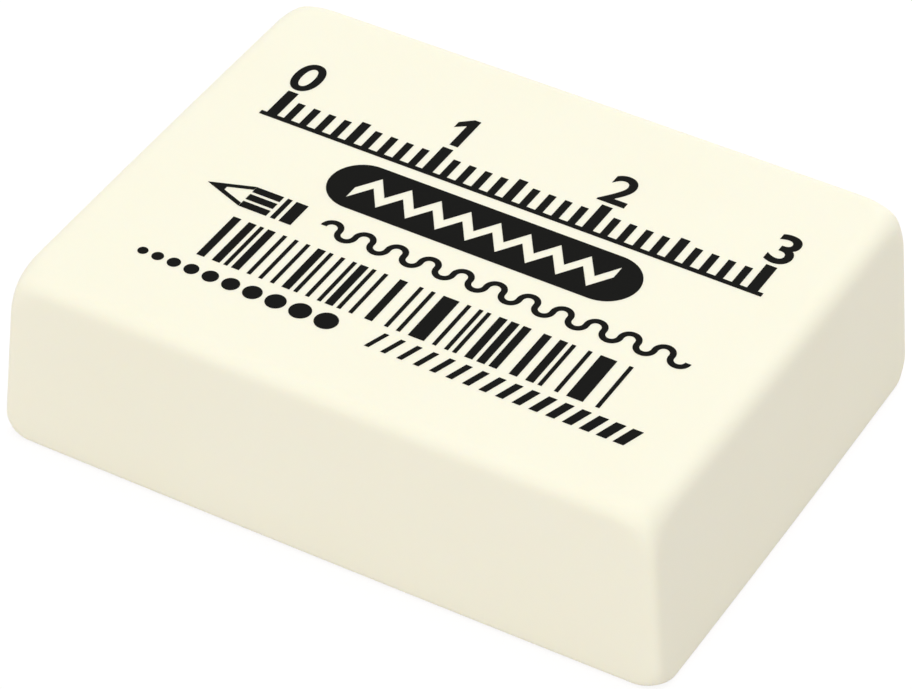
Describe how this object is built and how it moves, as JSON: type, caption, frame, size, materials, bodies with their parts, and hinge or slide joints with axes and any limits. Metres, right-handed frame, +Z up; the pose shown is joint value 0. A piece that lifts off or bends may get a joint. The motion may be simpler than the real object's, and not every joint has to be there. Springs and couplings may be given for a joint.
{
  "type": "block eraser",
  "caption": "Flat rectangular block eraser of pale ivory rubber, with softly rounded edges, crisper ones around its base, slightly blunted corners and end walls that lean in a little.",
  "frame": {"origin": "centre of the flat base face that the block rests on", "axes": "+X along the length, towards the right as the printed face is read; +Y across the width, towards the far side; +Z up, through the printed top face"},
  "size_m": [0.041, 0.0302, 0.0117],
  "materials": {
    "ivory_rubber": "smooth, matt, soft ivory rubber as it leaves the mould",
    "black_print": "thin matt black ink printed on the top face"
  },
  "bodies": {
    "root": {"eraser_block": "ivory_rubber"}
  },
  "joints": []
}
